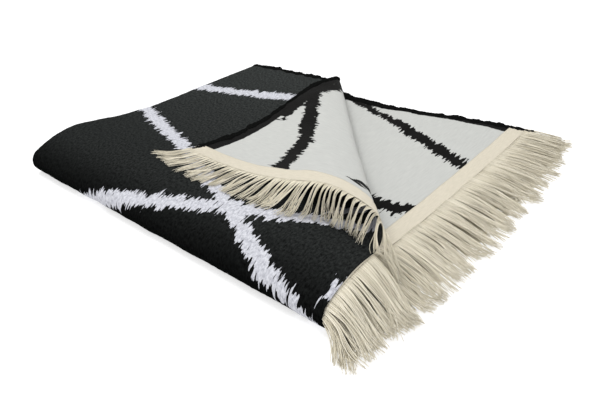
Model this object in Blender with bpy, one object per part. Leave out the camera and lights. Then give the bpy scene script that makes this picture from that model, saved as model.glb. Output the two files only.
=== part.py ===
"""Woven throw blanket with fringed ends, folded twice, its top corner turned back.

The throw is cut flat, with u running along its length from one fringed end, v running
across its width from the selvedge that lies on top at the far side, and h standing off
its front face. fold() then carries each point (u, v, h) to its place in the folded throw.

1. The throw is folded in half along its length, reverse inside: a hairpin at -X.
2. The two layers are folded in half across the width: a soft, high fold at -Y.
3. The free corner of the top layer is rolled back over itself along a slanting crease.
"""
from collections import namedtuple

import bpy
import bmesh
import numpy as np
from mathutils import Vector

# The flat throw, in metres; each header sits on the reverse, a seat apart from the cloth
THROW_WIDTH = 1.30
THROW_LENGTH = 1.50
CLOTH = 0.003
HEADER_WIDTH = 0.030
HEADER_THICK = 0.0008
FRINGE_LENGTH = 0.100
SEAT = 0.00042

# Where the edges lie once folded: X of the two fringed ends, Y of the far selvedges
END_OUTER = 0.373
END_INNER = 0.362
FAR_BOTTOM = 0.321
FAR_TOP = 0.323

# Pitch of the two layers that are folded together, and of the faces that meet inside
LAYER_PITCH = 0.006
INSIDE_PITCH = 0.005

# The hairpin at -X swells a little over its last stretch
PUFF = 0.001
PUFF_REACH = 0.07
HAIRPIN_R = (LAYER_PITCH + PUFF) / 2

# The fold at -Y and the roll of the corner, as rows of (section, length, turn in degrees)
NEAR_FOLD = (
    ("loop", 0.0524, 158),
    ("crown", 0.120, 36),
)
CORNER_ROLL = (
    ("loop", 0.0475, 160),
    ("crown", 0.085, 42),
)
CORNER_REST = 0.006

# The crown sinks in the middle of its length, and under it the inner layer lies flatter
SAG_SHARE, SAG_AT, SAG_REACH = 0.18, -0.05, 0.16
INNER_CROWN = 0.50
INNER_FROM, INNER_REACH = 0.05, 0.50
INNER_SINKS = 0.13

# At its hairpin end the crown lies lower, from one X to another
CROWN_SINKS = 0.24
SINKS_FROM, SINKS_TO = -0.10, -0.38

# The throw lies out of square: how much shorter it is along its near and its far side
OUT_OF_SQUARE = ((-0.32, -0.18), (0.052, 0.014))

# The roll of the corner swells towards its near end, from one place along it to another
ROLL_SWELLS = 0.32
SWELLS_FROM, SWELLS_TO = 0.05, 0.30

# The crease of the corner: its direction in plan, how far out it lies, and the bias
# stretch that slides the turned corner along it
CREASE_ALONG = np.array([0.6655, -0.7464])
CREASE_OUT = np.array([0.7464, 0.6655])
CREASE_AT = 0.152
CORNER_BIAS = 0.085
BIAS_FROM = 0.08

# Unevenness of the upper layers and of the selvedges, as (height, length) of soft waves
RIPPLE = (0.0012, 0.31)
SELVEDGE_WAVE = (0.0022, 0.27)
SELVEDGE_WAVE_REACH = 0.05

# Strands of the fringe: how many at each end, and their sections beyond the root, with the
# share of the length at which each stands, how far it has turned level and fanned out
STRANDS = 98
ROOT_WIDTH = 0.0052
StrandSection = namedtuple("StrandSection", "share width thick level fanned")
STRAND_SECTIONS = (
    StrandSection(0.22, 0.0056, 0.0016, 0.50, 0.0),
    StrandSection(0.62, 0.0056, 0.0020, 1.00, 0.5),
    StrandSection(1.00, 0.0030, 0.0016, 1.00, 1.0),
)
LENGTH_SPREAD = 0.010
TIP_DRIFT = 0.0018

# Shares of a strand's length over which it comes down to rest, in the air and on the floor
DROOP_SHARE = 0.70
FLOOR_DROOP_SHARE = 0.22

# Strands of the turned corner lie this far above what is under them, those that come off
# the roll itself one over the other
ROLLED_GAP = 0.0030
ROLLED_STACK = 0.012

# The two ends: their place along the throw, the way out, the height at which the undersides
# of the lower and of the upper strands come to rest, and how far they fan at the near fold
FringeEnd = namedtuple("FringeEnd", "name edge way lower upper fan")
FRINGE_ENDS = (
    FringeEnd("fringe_outer", 0.0, -1, 0.0, 0.0130, 0.30),
    FringeEnd("fringe_inner", THROW_LENGTH, 1, 0.0029, 0.0090, 0.12),
)

# Headings of the near fold, in degrees: from the first to the second the strands rise from
# their lower to their upper rest, and inside it the inner end has no room for strands
RISING_TURN = (60, 158)
CROWDED_TURN = (15, 152)

# Steps across a header where it runs round the roll and over its crown, and the length
# beside a strand's root over which its direction is taken
ROLL_LOOP_STEPS = 5
ROLL_CROWN_STEPS = 5
PROBE = 0.001

# Stations of the cloth along its length, and the steps of its hairpin
SLAB_COLUMNS = 0.072
HAIRPIN_STEPS = 6

# Places closer than this are one place, and a cut this close to a corner goes through it
MERGED = 1e-6
CUT_SNAP = 0.0004


def walk(sections, step=0.0005):
    """Follow rows of (section, length, turn): arc length, reach, rise and heading."""
    length = [0.0]
    heading = [0.0]
    for _, run, turn in sections:
        count = max(2, int(round(run / step)))
        start, bearing = length[-1], heading[-1]
        for i in range(1, count + 1):
            length.append(start + run * i / count)
            heading.append(bearing + np.radians(turn) * i / count)
    length = np.array(length)
    heading = np.array(heading)
    middle = (heading[1:] + heading[:-1]) / 2
    pieces = np.diff(length)
    reach = np.concatenate(([0.0], np.cumsum(np.cos(middle) * pieces)))
    rise = np.concatenate(([0.0], np.cumsum(np.sin(middle) * pieces)))
    return length, reach, rise, heading


def with_slope(sections, level):
    """Add the slope that brings a fold down from its crown to run level at a height."""
    _, _, rise, heading = walk(sections)
    over = heading[-1] - np.pi
    slope = (rise[-1] - level) * over / (1 - np.cos(over))
    return sections + (("slope", slope, -np.degrees(over)),)


def near_path():
    """The path of the doubled cloth across the width, from the lower far selvedge."""
    fold_rows = with_slope(NEAR_FOLD, LAYER_PITCH + INSIDE_PITCH)
    length, reach, _, _ = walk(fold_rows)
    top_run = (THROW_WIDTH - length[-1] + FAR_TOP - FAR_BOTTOM + reach[-1]) / 2
    flat_run = THROW_WIDTH - length[-1] - top_run
    rows = (("flat", flat_run, 0),) + fold_rows + (("top", top_run, 0),)
    at, reach, rise, heading = walk(rows)
    ends = np.cumsum([row[1] for row in rows])
    return {"at": at, "y": FAR_BOTTOM - reach, "z": rise, "heading": heading, "ends": ends}


def roll_path():
    """The path of the turned corner across its crease."""
    rows = with_slope(CORNER_ROLL, CORNER_REST) + (("laid", 0.6, 0),)
    at, out, rise, heading = walk(rows)
    ends = np.cumsum([row[1] for row in rows])
    return {"at": at, "out": out, "z": rise, "heading": heading, "ends": ends}


NEAR = near_path()
ROLL = roll_path()
ROLL_START = CREASE_AT - ROLL["out"].max()
HAIRPIN_X = (END_OUTER + END_INNER - THROW_LENGTH + np.pi * HAIRPIN_R) / 2
RUN_OUTER = END_OUTER - HAIRPIN_X


def ease(share):
    """A soft step from 0 to 1."""
    share = np.clip(share, 0, 1)
    return share * share * (3 - 2 * share)


def puff(x):
    return PUFF * ease(1 - (x - HAIRPIN_X) / PUFF_REACH)


def crown_scale(place, x, inner):
    """How much of the crown's height stands at x, on the outer or the inner layer."""
    sag = 1 - SAG_SHARE * np.exp(-((x - SAG_AT) / SAG_REACH) ** 2)
    sag = sag - CROWN_SINKS * ease((x - SINKS_FROM) / (SINKS_TO - SINKS_FROM))
    flat, loop = NEAR["ends"][:2]
    past_bend = ease((place - (flat + loop) / 2) / INNER_SINKS)
    lower = (1 - INNER_CROWN) * ease((x - HAIRPIN_X - INNER_FROM) / INNER_REACH)
    return np.where(inner, sag * (1 - lower * past_bend), sag)


def ripple(x, y):
    height, length = RIPPLE
    turn = 2 * np.pi / length
    return height * (np.sin(turn * (x + 0.6 * y) + 0.7) + 0.5 * np.sin(turn * (y - 0.8 * x)))


def lifted(place, x, y, z, inner):
    """Height of the doubled cloth's middle at a place along the near path."""
    share = ease((place - NEAR["ends"][0]) / (NEAR["ends"][1] - NEAR["ends"][0]))
    level = (LAYER_PITCH + INSIDE_PITCH) * share
    above = (z - level) * crown_scale(place, x, inner)
    return level + above + share * (puff(x) + ripple(x, y))


def doubled(x, place, off, inner):
    """Y and Z of a point at x, at a place along the near path and off its middle."""
    y = np.interp(place, NEAR["at"], NEAR["y"])
    z = np.interp(place, NEAR["at"], NEAR["z"])
    heading = np.interp(place, NEAR["at"], NEAR["heading"])
    middle = CLOTH / 2 + (LAYER_PITCH + puff(x)) / 2 + lifted(place, x, y, z, inner)
    return y - off * np.sin(heading), middle - off * np.cos(heading)


def drawn_in(y):
    """The share of its length by which the throw is shorter at y."""
    return np.interp(y, *OUT_OF_SQUARE) / RUN_OUTER


def folded_twice(u, v, h):
    """The throw with its two folds, before the corner is rolled back."""
    past = u - RUN_OUTER
    turn = np.clip(past / HAIRPIN_R, 0, np.pi)
    returned = HAIRPIN_X + past - np.pi * HAIRPIN_R
    x = np.where(past < 0, END_OUTER - u, HAIRPIN_X - HAIRPIN_R * np.sin(turn))
    x = np.where(turn >= np.pi, returned, x)
    along = np.maximum(x, HAIRPIN_X)
    half = (LAYER_PITCH + puff(along)) / 2
    off = np.where(past < 0, half, np.where(turn >= np.pi, -half, HAIRPIN_R * np.cos(turn)))
    y, z = doubled(along, THROW_WIDTH - v, off + h * np.cos(turn), off < 0)
    x = x - h * np.sin(turn)
    return END_OUTER - (END_OUTER - x) * (1 - drawn_in(y)), y, z


def top_height(x, y):
    """Height of the top layer's middle at a point of the plan, as if nothing were rolled."""
    x = END_OUTER - (END_OUTER - x) / (1 - drawn_in(y))
    place = np.linspace(NEAR["ends"][1] - 0.012, THROW_WIDTH + 0.1, 1200)
    on_path = np.minimum(place, THROW_WIDTH)
    heading = np.interp(on_path, NEAR["at"], NEAR["heading"])
    path_y = np.interp(on_path, NEAR["at"], NEAR["y"]) + place - on_path
    seen_y = path_y - LAYER_PITCH / 2 * np.sin(heading)
    here = np.interp(y, seen_y, on_path)
    z = np.interp(here, NEAR["at"], NEAR["z"])
    slope = np.interp(here, NEAR["at"], NEAR["heading"])
    half = (LAYER_PITCH + puff(x)) / 2
    return CLOTH / 2 + half + lifted(here, x, y, z, False) - half * np.cos(slope)


def past_crease(x, y):
    """How far a point of the plan lies past the start of the corner's roll."""
    return x * CREASE_OUT[0] + y * CREASE_OUT[1] - ROLL_START


def fold(u, v, h):
    """Carry points of the flat throw to their places in the folded one."""
    u, v, h = np.broadcast_arrays(*(np.asarray(a, float) for a in (u, v, h)))
    x, y, z = folded_twice(u, v, h)
    plan_x, plan_y, _ = folded_twice(u, v, 0 * h)
    over = past_crease(plan_x, plan_y)
    rolled = (u < RUN_OUTER) & (THROW_WIDTH - v > NEAR["ends"][1]) & (over > 0)
    over = np.maximum(over, 0)
    out = np.interp(over, ROLL["at"], ROLL["out"])
    rise = np.interp(over, ROLL["at"], ROLL["z"])
    heading = np.interp(over, ROLL["at"], ROLL["heading"])
    along = plan_x * CREASE_ALONG[0] + plan_y * CREASE_ALONG[1]
    swell = 1 + ROLL_SWELLS * ease((along - SWELLS_FROM) / (SWELLS_TO - SWELLS_FROM))
    above = np.maximum(rise - CORNER_REST * ease(over / ROLL["ends"][0]), 0) * (swell - 1)
    out = out - h * np.sin(heading) + ROLL_START
    rise = rise + above + h * np.cos(heading)
    along = along + CORNER_BIAS * np.maximum(over - BIAS_FROM, 0)
    roll_x = out * CREASE_OUT[0] + along * CREASE_ALONG[0]
    roll_y = out * CREASE_OUT[1] + along * CREASE_ALONG[1]
    roll_z = top_height(roll_x, roll_y) + rise
    return np.where(rolled, roll_x, x), np.where(rolled, roll_y, y), np.where(rolled, roll_z, z)


def selvedge_wave(u, v):
    """A soft wave that draws the two selvedges in and out."""
    height, length = SELVEDGE_WAVE
    near_top = ease(1 - v / SELVEDGE_WAVE_REACH)
    near_bottom = ease(1 - (THROW_WIDTH - v) / SELVEDGE_WAVE_REACH)
    wave = np.sin(2 * np.pi * u / length) + 0.6 * np.sin(2 * np.pi * u / (0.37 * length) + 1.1)
    return v + height * wave * (near_top - near_bottom)


def split(start, end, step):
    """Even stations between two places, no wider apart than a step."""
    count = max(1, int(np.ceil(abs(end - start) / step - 1e-9)))
    return [start + (end - start) * i / count for i in range(count + 1)]


def chain(*runs):
    """Join runs of stations, dropping the repeated ends."""
    stations = []
    for start, end, step in runs:
        stations += split(start, end, step)[1 if stations else 0:]
    return stations


def cloth_columns():
    hairpin_end = RUN_OUTER + np.pi * HAIRPIN_R
    return chain(
        (0.0, HEADER_WIDTH, HEADER_WIDTH),
        (HEADER_WIDTH, RUN_OUTER, SLAB_COLUMNS),
        (RUN_OUTER, hairpin_end, np.pi * HAIRPIN_R / HAIRPIN_STEPS),
        (hairpin_end, THROW_LENGTH - HEADER_WIDTH, SLAB_COLUMNS),
        (THROW_LENGTH - HEADER_WIDTH, THROW_LENGTH, HEADER_WIDTH),
    )


def cloth_rows():
    flat, loop, crown, slope, top = NEAR["ends"]
    places = chain(
        (0.0, flat - 0.02, 0.20),
        (flat - 0.02, flat, 0.02),
        (flat, loop, 0.0045),
        (loop, crown, 0.0155),
        (crown, slope, 0.020),
        (slope, top - 0.05, 0.04),
        (top - 0.05, top, 0.025),
    )
    return [THROW_WIDTH - place for place in places][::-1]


def roll_rows():
    loop, crown, slope, _ = ROLL["ends"]
    return chain((0.0, loop, 0.0044), (loop, crown, 0.0145), (crown, slope, 0.024))


def make_material(name, colour, roughness):
    material = bpy.data.materials.new(name)
    material.use_nodes = True
    shader = material.node_tree.nodes["Principled BSDF"]
    shader.inputs["Base Color"].default_value = (*colour, 1.0)
    shader.inputs["Roughness"].default_value = roughness
    shader.inputs["Metallic"].default_value = 0.0
    return material


def finish_object(name, bm, material):
    """Turn a bmesh into a named object, faces outwards, with its own material."""
    bmesh.ops.recalc_face_normals(bm, faces=bm.faces[:])
    if bm.calc_volume(signed=True) < 0:
        bmesh.ops.reverse_faces(bm, faces=bm.faces[:])
    mesh = bpy.data.meshes.new(name)
    bm.to_mesh(mesh)
    bm.free()
    mesh.shade_smooth()
    mesh.set_sharp_from_angle(angle=np.radians(40))
    mesh.materials.append(material)
    obj = bpy.data.objects.new(name, mesh)
    bpy.context.scene.collection.objects.link(obj)
    return obj


def flat_slab(columns, rows):
    """The flat throw as one closed slab: u on X, v on Y and h on Z."""
    bm = bmesh.new()
    grid = [[bm.verts.new((u, v, -CLOTH / 2)) for v in rows] for u in columns]
    for left, right in zip(grid, grid[1:]):
        for j in range(len(rows) - 1):
            bm.faces.new((left[j], right[j], right[j + 1], left[j + 1]))
    raised = bmesh.ops.extrude_face_region(bm, geom=bm.faces[:], use_keep_orig=True)
    top = [e for e in raised["geom"] if isinstance(e, bmesh.types.BMVert)]
    bmesh.ops.translate(bm, verts=top, vec=(0, 0, CLOTH))
    return bm


def on_corner(flat):
    """True on the part of the flat throw that becomes the top layer."""
    return flat.x < RUN_OUTER + MERGED and flat.y < THROW_WIDTH - NEAR["ends"][1] + MERGED


def cut_roll_lines(bm):
    """Cut the slab's free corner along lines that follow the roll."""
    across = CREASE_OUT * (1 - drawn_in(FAR_TOP), 1)
    normal = (-across[0], -across[1], 0)
    for station in roll_rows():
        level = END_OUTER * CREASE_OUT[0] + FAR_TOP * CREASE_OUT[1] - ROLL_START - station
        point = (*across * level / across.dot(across), 0)
        corner = [face for face in bm.faces if all(on_corner(vert.co) for vert in face.verts)]
        geom = set(corner)
        for face in corner:
            geom.update(face.edges)
            geom.update(face.verts)
        bmesh.ops.bisect_plane(bm, geom=list(geom), plane_co=point, plane_no=normal, dist=CUT_SNAP)


def build_cloth(material):
    bm = flat_slab(cloth_columns(), cloth_rows())
    cut_roll_lines(bm)
    flat = np.array([v.co for v in bm.verts])
    v_waved = selvedge_wave(flat[:, 0], flat[:, 1])
    placed = np.stack(fold(flat[:, 0], v_waved, flat[:, 2]), axis=1)
    placed[placed[:, 2] < MERGED, 2] = 0.0
    for vert, place in zip(bm.verts, placed):
        vert.co = place
    return finish_object("throw_cloth", bm, material)


def near_heading(place_v):
    """Heading of the near path, in radians, where a strand is rooted."""
    return float(np.interp(THROW_WIDTH - place_v, NEAR["at"], NEAR["heading"]))


def on_top(place_v):
    return THROW_WIDTH - place_v > NEAR["ends"][1]


def past_crease_at(edge, place_v):
    """How far an end of the throw lies past the start of the roll at one place."""
    return float(past_crease(*folded_twice(edge, place_v, 0.0)[:2]))


def rest_height(end, place_v):
    """Height at which the underside of a strand comes to rest."""
    if on_top(place_v):
        return end.upper
    return float(np.interp(np.degrees(near_heading(place_v)), RISING_TURN, (end.lower, end.upper)))


def droop(share, over=DROOP_SHARE):
    return float(ease(share / over))


def upper_surface(x, y, strands_rest):
    """Height of the top layer, or of the strands that hang from its near part, at a point."""
    edge = float(top_height(min(x, END_OUTER), y)) + CLOTH / 2
    if x <= END_OUTER:
        return edge
    strands_top = strands_rest + STRAND_SECTIONS[1].thick
    return edge + (strands_top - edge) * droop((x - END_OUTER) / FRINGE_LENGTH)


def unit(vector):
    return vector / np.linalg.norm(vector)


def root_frame(end, place_v):
    """A strand's root, its heading in plan, and the directions beside it on cloth and floor."""
    off = -(CLOTH / 2 + SEAT + HEADER_THICK / 2)
    root = np.array(fold(end.edge, place_v, off))
    back = np.array(fold(end.edge - end.way * 2 * PROBE, place_v, off))
    left = np.array(fold(end.edge, place_v + PROBE, off))
    right = np.array(fold(end.edge, place_v - PROBE, off))
    heading = unit((root - back)[:2])
    beside = unit(left - right)
    across = np.array([-heading[1], heading[0], 0.0])
    return root, heading, beside, across if np.dot(beside, across) > 0 else -across


def strand_rings(end, place_v, length, drift):
    """The sections of one strand beyond its root, four corners each."""
    root, heading, beside, across = root_frame(end, place_v)
    spread = end.fan * max(0.0, np.sin(near_heading(place_v)))
    over = past_crease_at(end.edge, place_v)
    rolled = end.way < 0 and on_top(place_v) and over > 0
    rest = rest_height(end, place_v)
    on_floor = rest == 0
    stack = ROLLED_STACK * float(np.interp(over, (0, ROLL["ends"][0], ROLL["ends"][1]), (0, 1, 0)))
    root_clear = root[2] - upper_surface(root[0], root[1], end.upper)
    rings = []
    for row in STRAND_SECTIONS:
        plan = root[:2] + heading * length * row.share + across[:2] * drift * row.share
        plan[1] -= spread * length * row.fanned
        if rolled:
            rest_clear = ROLLED_GAP + stack + row.thick / 2
            middle = upper_surface(plan[0], plan[1], end.upper) + root_clear
            middle += (rest_clear - root_clear) * droop(row.share)
        else:
            share = droop(row.share, FLOOR_DROOP_SHARE if on_floor else DROOP_SHARE)
            middle = root[2] + (rest + row.thick / 2 - root[2]) * share
        side = unit(across if on_floor else beside + (across - beside) * row.level)
        rise = unit(np.cross(np.append(heading, 0.0), side)) * row.thick / 2
        side = side * row.width / 2
        centre = np.append(plan, middle)
        rings.append([centre - side - rise, centre + side - rise,
                      centre + side + rise, centre - side + rise])
    return rings


def crowded(end, place_v):
    """True inside the near fold, where the inner end's strands have no room to stand apart."""
    heading = np.degrees(near_heading(place_v))
    in_fold = CROWDED_TURN[0] < heading < CROWDED_TURN[1] and not on_top(place_v)
    return end.way > 0 and in_fold


def header_levels(end, v):
    """Stations of a header across its width: more of them where it runs round the roll."""
    inner = end.edge - end.way * HEADER_WIDTH
    steps = 1
    if end.way < 0 and on_top(v):
        over = past_crease_at(end.edge, v)
        if -HEADER_WIDTH / 3 < over < ROLL["ends"][0] + HEADER_WIDTH:
            steps = ROLL_LOOP_STEPS
        elif 0 < over < ROLL["ends"][2] + HEADER_WIDTH:
            steps = ROLL_CROWN_STEPS
    return list(np.linspace(inner, end.edge, steps + 1))


def add_wall(bm, corners, wanted):
    """Add a four-sided wall as two triangles, split where it lies nearer to a wanted point."""
    a, b, c, d = corners
    if ((a.co + c.co) / 2 - wanted).length > ((b.co + d.co) / 2 - wanted).length:
        a, b, c, d = b, c, d, a
    bm.faces.new((a, b, c))
    bm.faces.new((a, c, d))


def header_column(bm, end, v, h):
    """A header's points across its width at one station: each with its flat place."""
    waved = float(selvedge_wave(end.edge, v))
    flat = [(u, waved, h) for u in header_levels(end, v)]
    return [(bm.verts.new(np.array(fold(*place))), place) for place in flat]


def add_skin(bm, left, right):
    """Cover the strip between two stations of a header."""
    if len(left) != len(right):
        bm.faces.new([vert for vert, _ in left + right[::-1]])
        return
    for k in range(len(left) - 1):
        corners = (left[k], left[k + 1], right[k + 1], right[k])
        centre = np.mean([place for _, place in corners], axis=0)
        add_wall(bm, [vert for vert, _ in corners], Vector(np.array(fold(*centre))))


def join_ring(bm, ring, corners):
    """Add four corners beyond a ring and wall the two together, without a twist."""
    here = np.array([vert.co for vert in ring])
    middle = here.mean(axis=0)
    there = np.array(corners)
    centre = there.mean(axis=0)
    turns = [np.roll(there, -k, axis=0) for k in range(4)]
    turns += [np.roll(there[::-1], -k, axis=0) for k in range(4)]
    best = min(turns, key=lambda c: np.abs((c - centre) - (here - middle)).sum())
    new = [bm.verts.new(c) for c in best]
    axis = Vector((middle + centre) / 2)
    for k in range(4):
        corners = (ring[k], ring[(k + 1) % 4], new[(k + 1) % 4], new[k])
        wall = sum((vert.co for vert in corners), Vector()) / 4
        add_wall(bm, corners, wall + (wall - axis))
    return new


def header_stations(roots):
    """Stations along a header: the sides of every root, and a middle for each bent gap."""
    stations = [0.0] + [v for pair in roots for v in pair] + [THROW_WIDTH]
    gaps = [(a + b) / 2 for a, b in zip(stations[2:-1:2], stations[3:-1:2])]
    bent = (THROW_WIDTH - NEAR["ends"][1], THROW_WIDTH - NEAR["ends"][0])
    return sorted(stations + [v for v in gaps if bent[0] < v < bent[1]])


def build_header(bm, end, stations):
    """Lay a header on the reverse of the cloth, open along its outer edge."""
    near_h = -(CLOTH / 2 + SEAT)
    cloth_side = [header_column(bm, end, v, near_h) for v in stations]
    free_side = [header_column(bm, end, v, near_h - HEADER_THICK) for v in stations]
    for i in range(len(stations) - 1):
        add_skin(bm, cloth_side[i], cloth_side[i + 1])
        add_skin(bm, free_side[i], free_side[i + 1])
    cloth_side = [[vert for vert, _ in column] for column in cloth_side]
    free_side = [[vert for vert, _ in column] for column in free_side]
    for i in range(len(stations) - 1):
        bm.faces.new((cloth_side[i][0], cloth_side[i + 1][0], free_side[i + 1][0], free_side[i][0]))
    for low, high in ((cloth_side[0], free_side[0]), (cloth_side[-1], free_side[-1])):
        for k in range(len(low) - 1):
            bm.faces.new((low[k], low[k + 1], high[k + 1], high[k]))
    return [column[-1] for column in cloth_side], [column[-1] for column in free_side]


def build_fringe(end, material, random):
    """One end's header with its strands standing out of it, as one closed body."""
    pitch = THROW_WIDTH / STRANDS
    middles = [(i + 0.5) * pitch for i in range(STRANDS)]
    roots = [(v - ROOT_WIDTH / 2, v + ROOT_WIDTH / 2) for v in middles]
    stations = header_stations(roots)
    bm = bmesh.new()
    low, high = build_header(bm, end, stations)
    rooted = {pair[0]: middle for pair, middle in zip(roots, middles)}
    for i in range(len(stations) - 1):
        ring = [low[i], low[i + 1], high[i + 1], high[i]]
        middle = rooted.get(stations[i])
        if middle is not None and not crowded(end, middle):
            length = FRINGE_LENGTH - LENGTH_SPREAD * random.random_sample()
            drift = TIP_DRIFT * (2 * random.random_sample() - 1)
            for corners in strand_rings(end, middle, length, drift):
                ring = join_ring(bm, ring, corners)
        bm.faces.new(ring)
    return finish_object(end.name, bm, material)


def main():
    for old in list(bpy.data.objects):
        bpy.data.objects.remove(old, do_unlink=True)
    charcoal = make_material("charcoal_weave", (0.024, 0.026, 0.026), 0.95)
    cream = make_material("cream_cotton", (0.79, 0.74, 0.63), 0.9)
    build_cloth(charcoal)
    random = np.random.RandomState(7)
    for end in FRINGE_ENDS:
        build_fringe(end, cream, random)


main()
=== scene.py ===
"""Looks of a woven throw with fringed ends, folded twice, its top corner turned back.

Every soft piece is laid out on the flat throw and carried to its place by fold(). There u
runs along the throw from one fringed end, v across it from the selvedge that ends on top,
and h stands off the front face. Lengths are in metres.
"""

import math
from collections import namedtuple

import bpy
import numpy as np
from bpy.types import Node, NodeSocket
from mathutils import Matrix, Vector


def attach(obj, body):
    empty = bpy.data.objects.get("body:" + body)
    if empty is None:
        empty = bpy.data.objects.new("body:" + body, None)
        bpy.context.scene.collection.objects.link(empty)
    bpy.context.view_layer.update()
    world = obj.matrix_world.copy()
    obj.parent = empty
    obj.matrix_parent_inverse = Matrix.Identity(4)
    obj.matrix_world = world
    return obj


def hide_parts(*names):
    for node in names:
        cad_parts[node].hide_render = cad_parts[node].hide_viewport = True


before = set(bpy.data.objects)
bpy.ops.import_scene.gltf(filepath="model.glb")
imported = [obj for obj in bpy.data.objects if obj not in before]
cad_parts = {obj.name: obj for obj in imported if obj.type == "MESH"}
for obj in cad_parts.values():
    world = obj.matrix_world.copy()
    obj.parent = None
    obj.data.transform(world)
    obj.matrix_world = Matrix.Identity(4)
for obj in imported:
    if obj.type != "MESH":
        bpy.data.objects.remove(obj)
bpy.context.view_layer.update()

# The flat throw and its trims
THROW_WIDTH = 1.30
THROW_LENGTH = 1.50
CLOTH = 0.003
HEADER_WIDTH = 0.030
HEADER_THICK = 0.0008
FRINGE_LENGTH = 0.100
SEAT = 0.00042

# Where the edges lie once folded: X of the two fringed ends, Y of the far selvedges
END_OUTER = 0.373
END_INNER = 0.362
FAR_BOTTOM = 0.321
FAR_TOP = 0.323

# Pitch of the two layers that are folded together, and of the faces that meet inside
LAYER_PITCH = 0.006
INSIDE_PITCH = 0.005

# The hairpin at -X swells a little over its last stretch
PUFF = 0.001
PUFF_REACH = 0.07
HAIRPIN_R = (LAYER_PITCH + PUFF) / 2

# The fold at -Y and the roll of the corner, as rows of (section, length, turn in degrees)
NEAR_FOLD = (("loop", 0.0524, 158), ("crown", 0.120, 36))
CORNER_ROLL = (("loop", 0.0475, 160), ("crown", 0.085, 42))
CORNER_REST = 0.006

# The crown sinks in the middle of its length, and under it the inner layer lies flatter
SAG_SHARE, SAG_AT, SAG_REACH = 0.18, -0.05, 0.16
INNER_CROWN = 0.50
INNER_FROM, INNER_REACH = 0.05, 0.50
INNER_SINKS = 0.13

# At its hairpin end the crown lies lower, from one X to another
CROWN_SINKS = 0.24
SINKS_FROM, SINKS_TO = -0.10, -0.38

# The throw lies out of square: how much shorter it is along its near and its far side
OUT_OF_SQUARE = ((-0.32, -0.18), (0.052, 0.014))

# The height of the corner's roll, from place to place along it: it swells towards -Y
ROLL_SWELLS = ((-0.30, -0.16, 0.05, 0.15, 0.22, 0.30), (0.58, 0.94, 1.0, 1.11, 1.24, 1.32))

# The crease of the corner, and the bias stretch that slides the turned corner along it
CREASE_ALONG = np.array([0.6655, -0.7464])
CREASE_OUT = np.array([0.7464, 0.6655])
CREASE_AT = 0.152
CORNER_BIAS = 0.085
BIAS_FROM = 0.08

# Unevenness of the upper layers and of the selvedges, as (height, length) of soft waves
RIPPLE = (0.0012, 0.31)
SELVEDGE_WAVE = (0.0022, 0.27)
SELVEDGE_WAVE_REACH = 0.05

# A shorter wave on the selvedges: its height and length as shares of the first, and its phase
SHORT_WAVE = (0.6, 0.37, 1.1)

# The camera: its place, its angles in degrees, and its lens and sensor in millimetres
CAMERA_PLACE = (0.6813, -0.6741, 0.4837)
CAMERA_AZIMUTH = 42.675
CAMERA_ELEVATION = 31.856
CAMERA_ROLL = 4.208
CAMERA_LENS = 33.0
CAMERA_SENSOR = 36.0


# The fold

def walk(sections, step=0.0005):
    """Follow rows of (section, length, turn): arc length, reach, rise and heading."""
    length = [0.0]
    heading = [0.0]
    for _, run, turn in sections:
        count = max(2, int(round(run / step)))
        start, bearing = length[-1], heading[-1]
        for i in range(1, count + 1):
            length.append(start + run * i / count)
            heading.append(bearing + np.radians(turn) * i / count)
    length = np.array(length)
    heading = np.array(heading)
    middle = (heading[1:] + heading[:-1]) / 2
    pieces = np.diff(length)
    reach = np.concatenate(([0.0], np.cumsum(np.cos(middle) * pieces)))
    rise = np.concatenate(([0.0], np.cumsum(np.sin(middle) * pieces)))
    return length, reach, rise, heading


def with_slope(sections, level):
    """Add the slope that brings a fold down from its crown to run level at a height."""
    _, _, rise, heading = walk(sections)
    over = heading[-1] - np.pi
    slope = (rise[-1] - level) * over / (1 - np.cos(over))
    return sections + (("slope", slope, -np.degrees(over)),)


def near_path():
    """The path of the doubled cloth across the width, from the lower far selvedge."""
    fold_rows = with_slope(NEAR_FOLD, LAYER_PITCH + INSIDE_PITCH)
    length, reach, _, _ = walk(fold_rows)
    top_run = (THROW_WIDTH - length[-1] + FAR_TOP - FAR_BOTTOM + reach[-1]) / 2
    flat_run = THROW_WIDTH - length[-1] - top_run
    rows = (("flat", flat_run, 0),) + fold_rows + (("top", top_run, 0),)
    at, reach, rise, heading = walk(rows)
    ends = np.cumsum([row[1] for row in rows])
    return {"at": at, "y": FAR_BOTTOM - reach, "z": rise, "heading": heading, "ends": ends}


def roll_path():
    """The path of the turned corner across its crease."""
    rows = with_slope(CORNER_ROLL, CORNER_REST) + (("laid", 0.6, 0),)
    at, out, rise, heading = walk(rows)
    ends = np.cumsum([row[1] for row in rows])
    return {"at": at, "out": out, "z": rise, "heading": heading, "ends": ends}


NEAR = near_path()
ROLL = roll_path()
ROLL_START = CREASE_AT - ROLL["out"].max()
HAIRPIN_X = (END_OUTER + END_INNER - THROW_LENGTH + np.pi * HAIRPIN_R) / 2
RUN_OUTER = END_OUTER - HAIRPIN_X


def ease(share):
    """A soft step from 0 to 1."""
    share = np.clip(share, 0, 1)
    return share * share * (3 - 2 * share)


def puff(x):
    """How much wider the hairpin stands at x."""
    return PUFF * ease(1 - (x - HAIRPIN_X) / PUFF_REACH)


def crown_scale(place, x, inner):
    """How much of the crown's height stands at x, on the outer or the inner layer."""
    sag = 1 - SAG_SHARE * np.exp(-((x - SAG_AT) / SAG_REACH) ** 2)
    sag = sag - CROWN_SINKS * ease((x - SINKS_FROM) / (SINKS_TO - SINKS_FROM))
    flat, loop = NEAR["ends"][:2]
    past_bend = ease((place - (flat + loop) / 2) / INNER_SINKS)
    lower = (1 - INNER_CROWN) * ease((x - HAIRPIN_X - INNER_FROM) / INNER_REACH)
    return np.where(inner, sag * (1 - lower * past_bend), sag)


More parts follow.
